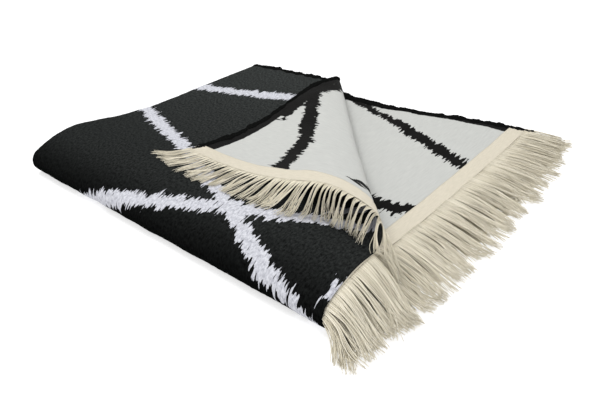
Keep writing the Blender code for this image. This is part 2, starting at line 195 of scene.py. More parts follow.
def ripple(x, y):
    """The soft unevenness of the upper layers at a point of the plan: two crossing waves."""
    height, length = RIPPLE
    turn = 2 * np.pi / length
    return height * (np.sin(turn * (x + 0.6 * y) + 0.7) + 0.5 * np.sin(turn * (y - 0.8 * x)))


def lifted(place, x, y, z, inner):
    """Height of the doubled cloth's middle at a place along the near path."""
    share = ease((place - NEAR["ends"][0]) / (NEAR["ends"][1] - NEAR["ends"][0]))
    level = (LAYER_PITCH + INSIDE_PITCH) * share
    above = (z - level) * crown_scale(place, x, inner)
    return level + above + share * (puff(x) + ripple(x, y))


def doubled(x, place, off, inner):
    """Y and Z of a point at x, at a place along the near path and off its middle."""
    beyond = np.maximum(place - THROW_WIDTH, 0) + np.maximum(-place, 0)
    y = np.interp(place, NEAR["at"], NEAR["y"]) + beyond
    z = np.interp(place, NEAR["at"], NEAR["z"])
    heading = np.interp(place, NEAR["at"], NEAR["heading"])
    middle = CLOTH / 2 + (LAYER_PITCH + puff(x)) / 2 + lifted(place, x, y, z, inner)
    return y - off * np.sin(heading), middle - off * np.cos(heading)


def drawn_in(y):
    """The share of its length by which the throw is shorter at y."""
    return np.interp(y, *OUT_OF_SQUARE) / RUN_OUTER


def folded_twice(u, v, h):
    """The throw with its two folds, before the corner is rolled back."""
    past = u - RUN_OUTER
    turn = np.clip(past / HAIRPIN_R, 0, np.pi)
    returned = HAIRPIN_X + past - np.pi * HAIRPIN_R
    x = np.where(past < 0, END_OUTER - u, HAIRPIN_X - HAIRPIN_R * np.sin(turn))
    x = np.where(turn >= np.pi, returned, x)
    along = np.maximum(x, HAIRPIN_X)
    half = (LAYER_PITCH + puff(along)) / 2
    off = np.where(past < 0, half, np.where(turn >= np.pi, -half, HAIRPIN_R * np.cos(turn)))
    y, z = doubled(along, THROW_WIDTH - v, off + h * np.cos(turn), off < 0)
    x = x - h * np.sin(turn)
    return END_OUTER - (END_OUTER - x) * (1 - drawn_in(y)), y, z


def top_height(x, y):
    """Height of the top layer's middle at a point of the plan, as if nothing were rolled."""
    x = END_OUTER - (END_OUTER - x) / (1 - drawn_in(y))
    # Places from a little before the top run to well past the far selvedge
    place = np.linspace(NEAR["ends"][1] - 0.012, THROW_WIDTH + 0.1, 1200)
    on_path = np.minimum(place, THROW_WIDTH)
    heading = np.interp(on_path, NEAR["at"], NEAR["heading"])
    path_y = np.interp(on_path, NEAR["at"], NEAR["y"]) + place - on_path
    seen_y = path_y - LAYER_PITCH / 2 * np.sin(heading)
    here = np.interp(y, seen_y, on_path)
    z = np.interp(here, NEAR["at"], NEAR["z"])
    slope = np.interp(here, NEAR["at"], NEAR["heading"])
    half = (LAYER_PITCH + puff(x)) / 2
    return CLOTH / 2 + half + lifted(here, x, y, z, False) - half * np.cos(slope)


def past_crease(x, y):
    """How far a point of the plan lies past the start of the corner's roll."""
    return x * CREASE_OUT[0] + y * CREASE_OUT[1] - ROLL_START


def fold(u, v, h):
    """Carry points of the flat throw to their places in the folded one."""
    u, v, h = np.broadcast_arrays(*(np.asarray(a, float) for a in (u, v, h)))
    x, y, z = folded_twice(u, v, h)
    plan_x, plan_y, _ = folded_twice(u, v, 0 * h)
    over = past_crease(plan_x, plan_y)
    rolled = (u < RUN_OUTER) & (THROW_WIDTH - v > NEAR["ends"][1]) & (over > 0)
    over = np.maximum(over, 0)
    out = np.interp(over, ROLL["at"], ROLL["out"])
    rise = np.interp(over, ROLL["at"], ROLL["z"])
    heading = np.interp(over, ROLL["at"], ROLL["heading"])
    along = plan_x * CREASE_ALONG[0] + plan_y * CREASE_ALONG[1]
    swell = np.interp(along, *ROLL_SWELLS)
    above = np.maximum(rise - CORNER_REST * ease(over / ROLL["ends"][0]), 0) * (swell - 1)
    out = out - h * np.sin(heading) + ROLL_START
    rise = rise + above + h * np.cos(heading)
    along = along + CORNER_BIAS * np.maximum(over - BIAS_FROM, 0)
    roll_x = out * CREASE_OUT[0] + along * CREASE_ALONG[0]
    roll_y = out * CREASE_OUT[1] + along * CREASE_ALONG[1]
    roll_z = top_height(roll_x, roll_y) + rise
    placed = [np.where(rolled, a, b) for a, b in ((roll_x, x), (roll_y, y), (roll_z, z))]
    return np.stack(placed, axis=-1)


# The first selvedge is drawn in by a stretch: (place along it, how far), over a soft reach
DRAWN_IN = ((0.0, 0.20, 0.35, 0.50, 0.62, 0.70, 0.745, 0.80, 1.0, 1.1, 1.29, 1.37, 1.43, 1.5),
            (0.018, 0.008, 0.0, -0.015, -0.019, -0.017, -0.002, 0.0, 0.034, 0.037, 0.032,
             0.010, -0.003, -0.004))
DRAWN_REACH = 0.14

# The second selvedge, under it, is drawn in by a place along X
DRAWN_BELOW = ((-0.14, -0.04, 0.06, 0.15, 0.22, 0.30), (0.0, 0.018, 0.024, 0.021, 0.010, 0.0))
MIDWAY = (THROW_LENGTH + END_OUTER - END_INNER) / 2


def selvedge_wave(u, v):
    """A soft wave that draws the two selvedges in and out."""
    height, length = SELVEDGE_WAVE
    near_top = ease(1 - v / SELVEDGE_WAVE_REACH)
    near_bottom = ease(1 - (THROW_WIDTH - v) / SELVEDGE_WAVE_REACH)
    share, shorter, phase = SHORT_WAVE
    wave = np.sin(2 * np.pi * u / length)
    wave = wave + share * np.sin(2 * np.pi * u / (shorter * length) + phase)
    drawn = np.interp(u, *DRAWN_IN) * ease(1 - v / DRAWN_REACH)
    below = np.interp(np.abs(u - MIDWAY) - MIDWAY + END_OUTER, *DRAWN_BELOW)
    drawn = drawn - below * ease(1 - (THROW_WIDTH - v) / DRAWN_REACH)
    return v + height * wave * (near_top - near_bottom) + drawn


# Flat stations, soft unevenness and meshes

MM = 0.001

# How uneven the cloth lies and how deep its nap is, as (height, length) of soft waves
LAY = (0.5 * MM, 70 * MM)
NAP = (0.22 * MM, 11 * MM)


def stations(*runs):
    """Join runs of even stations, each given as (start, end, widest step)."""
    places = [runs[0][0]]
    for start, end, step in runs:
        count = max(1, math.ceil((end - start) / step - 1e-9))
        places += [start + (end - start) * i / count for i in range(1, count + 1)]
    return np.array(places)


def soft_field(a, b, length, seed, waves=28):
    """Random soft waves of about a length over the plane (a, b), roughly from -1 to 1."""
    random = np.random.RandomState(seed)
    total = np.zeros(np.broadcast(a, b).shape)
    for _ in range(waves):
        angle = random.uniform(0, 2 * np.pi)
        turn = 2 * np.pi / (length * random.uniform(0.7, 1.9))
        phase = random.uniform(0, 2 * np.pi)
        total = total + np.sin(turn * (a * np.cos(angle) + b * np.sin(angle)) + phase)
    return total / np.sqrt(waves)


def lay(u, v):
    """How far the cloth as a whole stands off its smooth fold."""
    return LAY[0] * soft_field(u, v, LAY[1], 3)


def new_piece(name, points, faces, material, flat, tone=None):
    """A smooth mesh object from points and faces, with its flat places as a UV map."""
    mesh = bpy.data.meshes.new(name)
    mesh.from_pydata(points.tolist(), [], faces)
    corner = np.empty(len(mesh.loops), dtype=np.int32)
    mesh.loops.foreach_get("vertex_index", corner)
    layer = mesh.uv_layers.new(name="flat")
    layer.data.foreach_set("uv", flat[corner].astype(np.float32).ravel())
    if tone is not None:
        shades = mesh.attributes.new("tone", "FLOAT", "POINT")
        shades.data.foreach_set("value", tone.astype(np.float32).ravel())
    mesh.shade_smooth()
    mesh.materials.append(material)
    piece = bpy.data.objects.new(name, mesh)
    bpy.context.scene.collection.objects.link(piece)
    return piece


def closed_sheet(name, along, across, low, high, materials):
    """A closed sheet over stations of the flat throw: its front face, its reverse and its rim."""
    u, v = (a.ravel() for a in np.meshgrid(along, across, indexing="ij"))
    waved = selvedge_wave(u, v)
    front = fold(u, waved, high(u, v))
    reverse = fold(u, waved, low(u, v))
    rows, columns = len(along), len(across)
    index = np.arange(rows * columns).reshape(rows, columns)
    corners = [index[:-1, :-1], index[1:, :-1], index[1:, 1:], index[:-1, 1:]]
    upper = np.stack([c.ravel() for c in corners], axis=1)
    lower = upper[:, ::-1] + rows * columns
    rim = np.concatenate((index[:, 0][::-1], index[0, 1:], index[1:, -1], index[-1, -2:0:-1]))
    next_one = np.roll(rim, -1)
    # The walls of the rim run from the front down to the reverse
    wall = np.stack((rim, next_one, next_one + rows * columns, rim + rows * columns), axis=1)
    faces = np.concatenate((upper, lower, wall))
    points = np.concatenate((front, reverse))
    points[:, 2] = np.maximum(points[:, 2], 0.0)
    flat = np.tile(np.stack((u, v), axis=1), (2, 1))
    piece = new_piece(name, points, faces.tolist(), materials[0], flat)
    for extra in materials[1:]:
        piece.data.materials.append(extra)
    chosen = np.zeros(len(faces), dtype=np.int32)
    chosen[len(upper):len(upper) + len(lower)] = len(materials) - 1
    piece.data.polygons.foreach_set("material_index", chosen)
    return piece


def tube_piece(name, rings, material, flat, tone=None):
    """One piece of many closed tubes: rings[tube, station, corner] are their points."""
    tubes, length, sides = rings.shape[:3]
    index = np.arange(tubes * length * sides).reshape(tubes, length, sides)
    here, beyond = index[:, :-1], index[:, 1:]
    turned_here, turned_beyond = np.roll(here, -1, axis=2), np.roll(beyond, -1, axis=2)
    walls = np.stack((here, turned_here, turned_beyond, beyond), axis=-1).reshape(-1, 4)
    faces = walls.tolist() + index[:, 0, ::-1].tolist() + index[:, -1].tolist()
    return new_piece(name, rings.reshape(-1, 3), faces, material, flat.reshape(-1, 2), tone)


# Colours and nodes

def srgb(code, alpha=1.0):
    """A hex colour as it is on screen, turned to the linear values that shaders take."""
    channels = [int(code[i:i + 2], 16) / 255 for i in (1, 3, 5)]
    linear = [c / 12.92 if c <= 0.04045 else ((c + 0.055) / 1.055) ** 2.4 for c in channels]
    return (*linear, alpha)


def add_node(tree, kind, inputs=None, **settings):
    """Add a node with its settings; each input takes a value or what feeds it."""
    new = tree.nodes.new("ShaderNode" + kind)
    for name, value in settings.items():
        setattr(new, name, value)
    for key, source in (inputs or {}).items():
        if isinstance(source, Node):
            source = source.outputs[0]
        if isinstance(source, NodeSocket):
            tree.links.new(source, new.inputs[key])
        else:
            new.inputs[key].default_value = source
    return new


def shade_between(tree, factor, low, high, dark, pale):
    """Run from a dark to a pale colour as a factor goes from low to high."""
    share = add_node(tree, "MapRange", {"Value": factor, "From Min": low, "From Max": high})
    mixed = add_node(tree, "Mix", {0: share, 6: srgb(dark), 7: srgb(pale)}, data_type="RGBA")
    return mixed.outputs[2]


def cloth_material(name, roughness, sheen, sheen_roughness):
    """A matt cloth shader with its own constant finish: the material and its tree."""
    material = bpy.data.materials.new(name)
    material.use_nodes = True
    shader = material.node_tree.nodes["Principled BSDF"]
    shader.inputs["Roughness"].default_value = roughness
    shader.inputs["Sheen Weight"].default_value = sheen
    shader.inputs["Sheen Roughness"].default_value = sheen_roughness
    shader.inputs["Specular IOR Level"].default_value = 0.0
    return material, material.node_tree


def finish_shader(tree, colour, height, depth):
    """Feed the shader its colour and a relief of a real depth."""
    shader = tree.nodes["Principled BSDF"]
    tree.links.new(colour, shader.inputs["Base Color"])
    relief = add_node(tree, "Bump", {"Height": height, "Strength": 1.0, "Distance": depth})
    tree.links.new(relief.outputs["Normal"], shader.inputs["Normal"])


# The diamond lattice. Each band is given by the v where its line meets the end u = 0, its
# slope, the stretch of u over which it runs, and half its width. A line that bends a little
# is made of several bands that follow on each other.
Band = namedtuple("Band", "start slope first last half")
FALLING = (
    Band(0.254, -0.40, -0.02, 0.135, 0.0195), Band(0.322, -0.90, 0.125, 0.40, 0.0215),
    Band(0.682, -0.600, -0.02, 0.060, 0.0130), Band(0.664, -0.280, 0.055, 0.12, 0.0125),
    Band(0.683, -0.471, 0.115, 0.475, 0.0130), Band(0.636, -0.373, 0.47, 0.76, 0.0150),
    Band(0.650, -0.400, 0.76, 0.95, 0.0135), Band(0.425, -0.03, 1.00, 1.45, 0.0145),
    Band(1.425, -0.42, -0.02, 1.52, 0.0135), Band(1.395, -0.70, 1.44, 1.52, 0.0145),
    Band(1.820, -0.42, 0.90, 1.52, 0.0135),
)
RISING = (
    Band(-0.037, 0.310, 0.42, 1.00, 0.0165), Band(-0.690, 0.616, 0.95, 1.330, 0.0165),
    Band(-0.510, 0.480, 1.320, 1.52, 0.016), Band(0.461, 0.520, -0.02, 0.165, 0.0135),
    Band(0.494, 0.316, 0.15, 0.80, 0.0135), Band(0.505, 0.41, 0.72, 1.52, 0.0135),
    Band(0.845, 0.43, -0.02, 1.20, 0.0135),
)

# Short ends of bands: at the near fold, in the turned corner, and along its selvedge
BAND_ENDS = (
    Band(0.614, 0.10, -0.02, 0.008, 0.013), Band(0.345, 1.10, 0.046, 0.115, 0.016),
    Band(0.036, 0.02, 0.20, 0.42, 0.022),
)

# Teeth of the bands, where weft floats end: (row along u, run along v, depth)
TEETH = ((17 * MM, 60 * MM, 13 * MM), (4.6 * MM, 30 * MM, 20 * MM), (1.9 * MM, 10 * MM, 6 * MM))
BAND_SOFTNESS = 0.6 * MM

# The black border along both selvedges, widened by the painted shadow that the cord casts beside
# # it: its width at the end u = 0, how it narrows along u, and how it widens again towards the
# other end
BORDER_AND_SHADOW_WIDTH = 43 * MM
BORDER_NARROWS = 0.019
BORDER_WIDENS = 0.09
WIDENS_FROM = 1.28
BORDER_UNEVEN = 6 * MM

# Painted shade on the black pile: darker across the throw towards the near fold, which lies
# # away from the light: (from v, to v, the light it keeps, the step)
PAINTED_SHADE_ACROSS = ((0.05, 0.55, 0.55, "LINEAR"), (0.55, 0.67, 0.14, "SMOOTHSTEP"))

# At this scale a wave texture has one band in each unit of its place
WAVE_SCALE = 0.314


def flat_place(tree, row, run):
    """The flat place (u, v) measured in rows along u and runs along v."""
    place = add_node(tree, "UVMap", uv_map="flat")
    return add_node(tree, "Mapping", {"Vector": place, "Scale": (1 / row, 1 / run, 1)})


def off_band(tree, u, v, band):
    """How far a flat place lies beyond a band's edge, or past its ends."""
    line = add_node(tree, "Math", {0: u, 1: band.slope, 2: band.start}, operation="MULTIPLY_ADD")
    off = add_node(tree, "Math", {0: v, 1: line}, operation="SUBTRACT")
    off = add_node(tree, "Math", {0: off}, operation="ABSOLUTE")
    off = add_node(tree, "Math", {0: off, 1: band.half}, operation="SUBTRACT")
    middle, half = (band.first + band.last) / 2, (band.last - band.first) / 2
    past = add_node(tree, "Math", {0: u, 1: middle}, operation="SUBTRACT")
    past = add_node(tree, "Math", {0: past}, operation="ABSOLUTE")
    past = add_node(tree, "Math", {0: past, 1: half}, operation="SUBTRACT")
    return add_node(tree, "Math", {0: off, 1: past}, operation="MAXIMUM")


def off_border_and_shadow(tree, u, v, level):
    """How far a flat place lies in from the black border of the nearer selvedge, with the painted
    shadow of its cord, above a level.
    """
    across = add_node(tree, "Math", {0: v, 1: THROW_WIDTH / 2}, operation="SUBTRACT")
    across = add_node(tree, "Math", {0: across}, operation="ABSOLUTE")
    inner_edge = THROW_WIDTH / 2 - BORDER_AND_SHADOW_WIDTH + level
    inside = add_node(tree, "Math", {0: inner_edge, 1: across}, operation="SUBTRACT")
    inside = add_node(tree, "Math", {0: u, 1: BORDER_NARROWS, 2: inside}, operation="MULTIPLY_ADD")
    last = add_node(tree, "Math", {0: u, 1: WIDENS_FROM}, operation="SUBTRACT")
    last = add_node(tree, "Math", {0: last, 1: 0.0}, operation="MAXIMUM")
    inside = add_node(tree, "Math", {0: last, 1: -BORDER_WIDENS, 2: inside},
                      operation="MULTIPLY_ADD")
    uneven = add_node(tree, "TexNoise", {"Vector": flat_place(tree, row=9 * MM, run=30 * MM),
                                         "Scale": 1.0, "Detail": 2.0})
    return add_node(tree, "Math", {0: uneven, 1: BORDER_UNEVEN, 2: inside},
                    operation="MULTIPLY_ADD")


def lattice_mask(tree, border_and_shadow):
    """1 on the bands of the diamond lattice and 0 off them, with toothed edges."""
    split = add_node(tree, "SeparateXYZ", {0: add_node(tree, "UVMap", uv_map="flat")})
    u, v = split.outputs["X"], split.outputs["Y"]
    bands = [off_band(tree, u, v, band) for band in FALLING + RISING + BAND_ENDS]
    nearest = bands[0]
    for off in bands[1:]:
        nearest = add_node(tree, "Math", {0: nearest, 1: off}, operation="MINIMUM")
    level = 0.0
    for row, run, depth in TEETH:
        noise = add_node(tree, "TexNoise", {"Vector": flat_place(tree, row, run),
                                            "Scale": 1.0, "Detail": 1.0})
        nearest = add_node(tree, "Math", {0: noise, 1: 2 * depth, 2: nearest},
                           operation="MULTIPLY_ADD")
        level += depth
    # The black border is partly the real border and partly painted shadow beside the selvedge cord
    if border_and_shadow:
        off = off_border_and_shadow(tree, u, v, level)
        nearest = add_node(tree, "Math", {0: nearest, 1: off}, operation="MINIMUM")
    return add_node(tree, "MapRange", {"Value": nearest, "From Min": level + BAND_SOFTNESS,
                                       "From Max": level - BAND_SOFTNESS},
                    interpolation_type="SMOOTHSTEP")


def front_face():
    """Brushed chenille weft: soot black with off-white bands, which gives a dull, furry pile."""
    material, tree = cloth_material("brushed_chenille_front", roughness=0.95, sheen=0.0,
                                    sheen_roughness=0.6)
    mask = lattice_mask(tree, border_and_shadow=False)
    clumps = add_node(tree, "TexNoise", {"Vector": flat_place(tree, row=3.6 * MM, run=6.0 * MM),
                                         "Scale": 1.0, "Detail": 4.0, "Roughness": 0.8})
    black = shade_between(tree, clumps, 0.34, 0.70, dark="#151616", pale="#474a49")
    white = shade_between(tree, clumps, 0.34, 0.60, dark="#9b9ca5", pale="#d3d4da")
    # Painted shade: the black pile darkens over the top towards the near fold and down its side,
    # which lie away from the light
    split = add_node(tree, "SeparateXYZ", {0: add_node(tree, "UVMap", uv_map="flat")})
    lit = 1.0
    for first, last, kept, step in PAINTED_SHADE_ACROSS:
        ramp = add_node(tree, "MapRange", {"Value": split.outputs["Y"], "From Min": first,
                                           "From Max": last, "To Min": 1.0, "To Max": kept},
                        interpolation_type=step)
        lit = add_node(tree, "Math", {0: lit, 1: ramp}, operation="MULTIPLY")
    painted_shade = add_node(tree, "Math", {0: 1.0, 1: lit}, operation="SUBTRACT")
    # Painted shade: where the light falls off, the black pile is mixed towards near-black
    black = add_node(tree, "Mix", {0: painted_shade, 6: black, 7: srgb("#020202")}, data_type="RGBA")
    colour = add_node(tree, "Mix", {0: mask, 6: black.outputs[2], 7: white}, data_type="RGBA")
    fluff = add_node(tree, "TexNoise", {"Vector": flat_place(tree, row=1.5 * MM, run=6.0 * MM),
                                        "Scale": 1.0, "Detail": 3.0, "Roughness": 0.75})
    # The white floats stand a little higher than the black ground
    raised = add_node(tree, "Math", {0: mask, 1: 0.6, 2: fluff}, operation="MULTIPLY_ADD")
    finish_shader(tree, colour.outputs[2], raised, depth=1.3 * MM)
    return material


def reverse_face():
    """Plain weave side of the weft: smooth pale grey with black bands, finely ribbed."""
    material, tree = cloth_material("plain_weave_reverse", roughness=0.9, sheen=0.05,
                                    sheen_roughness=0.5)
    mask = lattice_mask(tree, border_and_shadow=True)
    slub = add_node(tree, "TexNoise", {"Vector": flat_place(tree, row=2.0 * MM, run=26 * MM),
                                       "Scale": 1.0, "Detail": 3.0, "Roughness": 0.6})
    pale = shade_between(tree, slub, 0.25, 0.75, dark="#b4b5b2", pale="#c2c3bf")
    black = shade_between(tree, slub, 0.30, 0.75, dark="#060605", pale="#131211")
    colour = add_node(tree, "Mix", {0: mask, 6: pale, 7: black}, data_type="RGBA")
    ribs = add_node(tree, "TexWave", {"Vector": flat_place(tree, row=1.0 * MM, run=1.0 * MM),
                                      "Scale": WAVE_SCALE, "Distortion": 0.6, "Detail": 1.0},
                    bands_direction="X")
    finish_shader(tree, colour.outputs[2], ribs, depth=0.12 * MM)
    return material


def header_tape():
    """Undyed cotton woven close across the warp ends: a flat, creamy, finely ribbed band."""
    material, tree = cloth_material("woven_cotton_header", roughness=0.9, sheen=0.08,
                                    sheen_roughness=0.5)
    slub = add_node(tree, "TexNoise", {"Vector": flat_place(tree, row=2.2 * MM, run=14 * MM),
                                       "Scale": 1.0, "Detail": 3.0, "Roughness": 0.6})
    cream = shade_between(tree, slub, 0.25, 0.75, dark="#c8c1af", pale="#d7cfbe")
    ribs = add_node(tree, "TexWave", {"Vector": flat_place(tree, row=1.3 * MM, run=1.3 * MM),
                                      "Scale": WAVE_SCALE, "Distortion": 1.2, "Detail": 2.0},
                    bands_direction="Y")
    finish_shader(tree, cream, ribs, depth=0.25 * MM)
    return material


def fringe_cotton():
    """Undyed cotton yarn, loosely plied: cream strings that differ a little in tone."""
    material, tree = cloth_material("plied_cotton_fringe", roughness=0.85, sheen=0.10,
                                    sheen_roughness=0.5)
    tone = add_node(tree, "Attribute", attribute_name="tone")
    cream = shade_between(tree, tone.outputs["Fac"], 0.0, 1.0, dark="#c0b8a1", pale="#ede6d4")
    ply = add_node(tree, "TexWave", {"Vector": flat_place(tree, row=1.6 * MM, run=1.6 * MM),
                                     "Scale": WAVE_SCALE, "Distortion": 0.8},
                   bands_direction="DIAGONAL")
    finish_shader(tree, cream, ply, depth=0.15 * MM)
    return material


def selvedge_pile():
    """The black weft turned round at the edge: a deep black, lumpy chenille cord."""
    material, tree = cloth_material("chenille_selvedge", roughness=0.95, sheen=0.0,
                                    sheen_roughness=0.6)
    clumps = add_node(tree, "TexNoise", {"Vector": flat_place(tree, row=2.4 * MM, run=2.4 * MM),
                                         "Scale": 1.0, "Detail": 4.0, "Roughness": 0.7})
    black = shade_between(tree, clumps, 0.34, 0.72, dark="#040404", pale="#1c1d1c")
    finish_shader(tree, black, clumps, depth=1.4 * MM)
    return material


# The floor: its side, how strongly it glows, and how many grains it has to a metre
FLOOR_SIDE = 14
FLOOR_GLOW = 0.62
FLOOR_GRAIN = 90.0


def studio_floor():
    """Opal glass lit from below: a plain white ground on which shadows are faint."""
    material, tree = cloth_material("lit_opal_floor", roughness=0.9, sheen=0.0,
                                    sheen_roughness=0.5)
    shader = tree.nodes["Principled BSDF"]
    shader.inputs["Emission Color"].default_value = srgb("#ffffff")
    shader.inputs["Emission Strength"].default_value = FLOOR_GLOW
    place = add_node(tree, "TexCoord")
    grain = add_node(tree, "TexNoise", {"Vector": place.outputs["Object"],
                                        "Scale": FLOOR_GRAIN, "Detail": 2.0})
    white = shade_between(tree, grain, 0.2, 0.8, dark="#bcbcbc", pale="#c2c2c2")
    finish_shader(tree, white, grain, depth=0.05 * MM)
    return material


# The cloth, its headers and its selvedges

def woven_cloth():
    """The throw itself, in one sheet: fine where it bends or shows, coarser where hidden."""
    flat, loop, crown, slope, _ = THROW_WIDTH - NEAR["ends"]
    hairpin_end = RUN_OUTER + np.pi * HAIRPIN_R
    along = stations((0.0, 0.42, 0.0048), (0.42, RUN_OUTER, 0.0075),
                     (RUN_OUTER, hairpin_end, 0.0016), (hairpin_end, 1.08, 0.0125),
                     (1.08, THROW_LENGTH, 0.0068))
    across = stations((0.0, slope, 0.0052), (slope, crown, 0.006), (crown, loop, 0.0055),
                      (loop, flat, 0.0026), (flat, flat + 0.02, 0.005),
                      (flat + 0.02, THROW_WIDTH, 0.014))

    def front_height(u, v):
        return CLOTH / 2 + lay(u, v) + NAP[0] * soft_field(u, v, NAP[1], 8)

    def reverse_height(u, v):
        return lay(u, v) - CLOTH / 2

    materials = (front_face(), reverse_face())
    return closed_sheet("woven_throw", along, across, reverse_height, front_height, materials)


# How far a header reaches past the cloth, and how uneven its underside is
HEADER_PAST = 1.2 * MM
HEADER_UNEVEN = (0.12 * MM, 9 * MM)


def header(end, material):
    """The woven band that locks the warp ends, lying on the reverse."""
    inner = end["edge"] - end["way"] * HEADER_WIDTH
    start, stop = sorted((inner, end["edge"] + end["way"] * HEADER_PAST))
    along = stations((start, stop, 0.0026))
    across = stations((0.0, THROW_WIDTH, 0.0046))

    def upper(u, v):
        return lay(u, v) - CLOTH / 2 - SEAT

    def under(u, v):
        uneven = HEADER_UNEVEN[0] * soft_field(u, v, HEADER_UNEVEN[1], 21)
        return upper(u, v) - HEADER_THICK - uneven

    return closed_sheet("header_" + end["name"], along, across, under, upper, (material,))


# The cord of a selvedge: its size, how far its middle lies inside the cloth's edge, its ends,
# and its lumps and fluff as (share of its size, length)
SELVEDGE_HALF_WIDTH = 9.0 * MM
SELVEDGE_HALF_HEIGHT = 4.0 * MM
SELVEDGE_INSIDE = 5.0 * MM
SELVEDGE_FROM = 0.002
SELVEDGE_PAST_END = 0.020
SELVEDGE_TAPER = 0.006
SELVEDGE_LUMPS = (0.26, 24 * MM)
SELVEDGE_FLUFF = (0.10, 5 * MM)
SELVEDGE_CORNERS = 16

# The two selvedges: the name of the cord, its edge, the way into the cloth, and a seed
SELVEDGES = (("selvedge_top", 0.0, 1, 51), ("selvedge_bottom", THROW_WIDTH, -1, 61))


def selvedge(name, edge, inward, seed, material):
    """The lumpy cord of turned weft round one selvedge."""
    end = THROW_LENGTH + SELVEDGE_PAST_END
    along = stations((SELVEDGE_FROM, end, 0.0022))
    around = np.linspace(0, 2 * np.pi, SELVEDGE_CORNERS + 1)[:-1]
    u, angle = np.meshgrid(along, around, indexing="ij")
    lumps = 1 + SELVEDGE_LUMPS[0] * soft_field(u, 0 * u, SELVEDGE_LUMPS[1], seed)
    fluff = 1 + SELVEDGE_FLUFF[0] * soft_field(u, 3 * MM * angle, SELVEDGE_FLUFF[1], seed + 1)
    end_taper = np.sqrt(np.clip(np.minimum(u, end - u) / SELVEDGE_TAPER, 0.05, 1))
    width = SELVEDGE_HALF_WIDTH * lumps * fluff * end_taper
    height = SELVEDGE_HALF_HEIGHT * (0.5 + 0.5 * lumps) * fluff * end_taper
    middle = selvedge_wave(u, np.full_like(u, edge)) + inward * SELVEDGE_INSIDE
    points = fold(u, middle + width * np.cos(angle), lay(u, edge) + height * np.sin(angle))
    points[..., 2] = np.maximum(points[..., 2], 0.0002)
    flat = np.stack((u, SELVEDGE_HALF_WIDTH * angle), axis=-1)
    return tube_piece(name, points[None], material, flat[None])


# The fringe

# The two fringed ends: where they lie along the throw, the way their strings run, and the
# height of the strings under those of the lower layer and of the upper layer
ENDS = (
    {"name": "outer", "node": "fringe_outer", "edge": 0.0, "way": -1,
     "lower": 0.0, "upper": 0.013},
    {"name": "inner", "node": "fringe_inner", "edge": THROW_LENGTH, "way": 1,
     "lower": 0.0029, "upper": 0.009},
)

# What lies under the strings rises between these headings of the near fold, in degrees
RISING_TURN = (60, 158)

# The strings: how far apart they stand, how thick they are, their stations and sides, how
# much thinner their tips are, how much is cut off most of them, and their tone and its spread
STRING_PITCH = 0.50 * MM
ROLLED_PITCH = 0.98 * MM
STRING_RADII = (0.42 * MM, 0.68 * MM)
STRING_STATIONS = 10
STRING_SIDES = 3
TIP_THINNER = 0.35
LENGTH_SPREAD = 0.009
TRIMMED_SHARE = 0.8
STRING_TONE = (0.62, 0.22)

# The locks they gather in: widths, spread of their lengths, curl and height
LOCK_WIDTHS = (4 * MM, 12 * MM)
ROLLED_LOCK_WIDTHS = (5 * MM, 12 * MM)
LOCK_SPREAD = 0.012
CURL = math.radians(26)
LOCK_HEIGHT = 3.2 * MM

# Spread of the locks' swing, in degrees: on the turned corner, elsewhere, and more in the fold
ROLLED_SWING = 8
LEVEL_SWING = 5
FOLD_SWING = 7

# How far the strings of a lock are drawn together, and by which share of their length
GATHERED = (0.66, 0.94)
LEVEL_GATHER = 0.45
ROLLED_TIED = 0.28
LEVEL_TIED = 0.5

# By which share of their length they have left their own roots, and lie flat in their lock
LEAVES_ROOT = 0.3
LIES_FLAT = 0.45

# From where and how far they part again towards their tips
SPLAYS_FROM = 0.5
SPLAY = (0.0, 0.5)
ROLLED_SPLAY = 0.55

# How far single strings stray and wave, and how often they wave
ROLLED_STRAY = 2.2 * MM
LEVEL_STRAY = 3.4 * MM
STRING_WAVE = 2.4 * MM
WAVE_TURNS = (0.6, 1.8)

# How the strings come down: the reach of their bend, where along them they land, how far off
# what is under them they rest, the steepest step along it, and how fast they swing round
BEND_REACH = 0.022
LANDING = 0.80
LOOK_AHEAD = 0.6
SWING_RATE = 1.6
RESTS_OFF = 0.6 * MM
STEEPEST = 0.8

# What they rest on gets lower past the edge: the strings below by a share over the fringe's
# length, and under the turned corner all of it to a level over a reach
PILE_SINKS = 0.6
CORNER_SINKS_TO = 0.012
CORNER_SINKS_OVER = 0.045

# Offsets for roots along the throw, and for the way along its edge
ROOT_IN = 0.001
ROOT_BACK = 0.003
PROBE = 0.001

# How far the strings swing towards -X where the corner is turned back, and towards -Y
# elsewhere, in degrees, by their place across the throw, and the share of their length that
# they keep there
CORNER_FAN = ((0.0, 0.03, 0.12), (38, 24, 0))
FAN = ((0.0, 0.06, 0.20, 0.40, 0.57, 0.64, 0.67, 0.69, 0.90, 1.20, 1.30),
       (-12, -2, 10, 16, 10, 14, 30, 44, 14, 0, -14))
KEPT = ((0.0, 0.04, 0.12, 0.25, 0.56, 0.60, 0.63, 0.66, 0.69, 0.74),
        (0.72, 0.93, 1.13, 1.21, 1.10, 0.98, 0.91, 0.76, 0.66, 0.8))
ROLLED_KEPT = ((0.0, 0.05, 0.12, 0.25, 0.33, 0.39, 0.45),
               (0.72, 0.80, 0.82, 0.78, 0.76, 0.64, 0.58))


def unit(vectors):
    """Vectors of the same ways and of length 1."""
    return vectors / np.linalg.norm(vectors, axis=-1, keepdims=True)


def near_heading(v):
    """Heading of the near path, in degrees, at a place across the throw."""
    return np.degrees(np.interp(THROW_WIDTH - v, NEAR["at"], NEAR["heading"]))


def on_top(v):
    """Whether a place across the throw lies past the near fold, in the upper layers."""
    return THROW_WIDTH - v > NEAR["ends"][1]


def root_frames(end, v):
    """Roots along one end: their points, the way out of the cloth and the way along its edge."""
    off = -(CLOTH / 2 + SEAT + HEADER_THICK / 2)
    edge, way = end["edge"], end["way"]
    waved = selvedge_wave(edge, v)
    root = fold(edge - way * ROOT_IN, waved, off)
    back = fold(edge - way * ROOT_BACK, waved, off)
    beside = unit(fold(edge, waved + PROBE, off) - fold(edge, waved - PROBE, off))
    return root, unit(root - back), beside


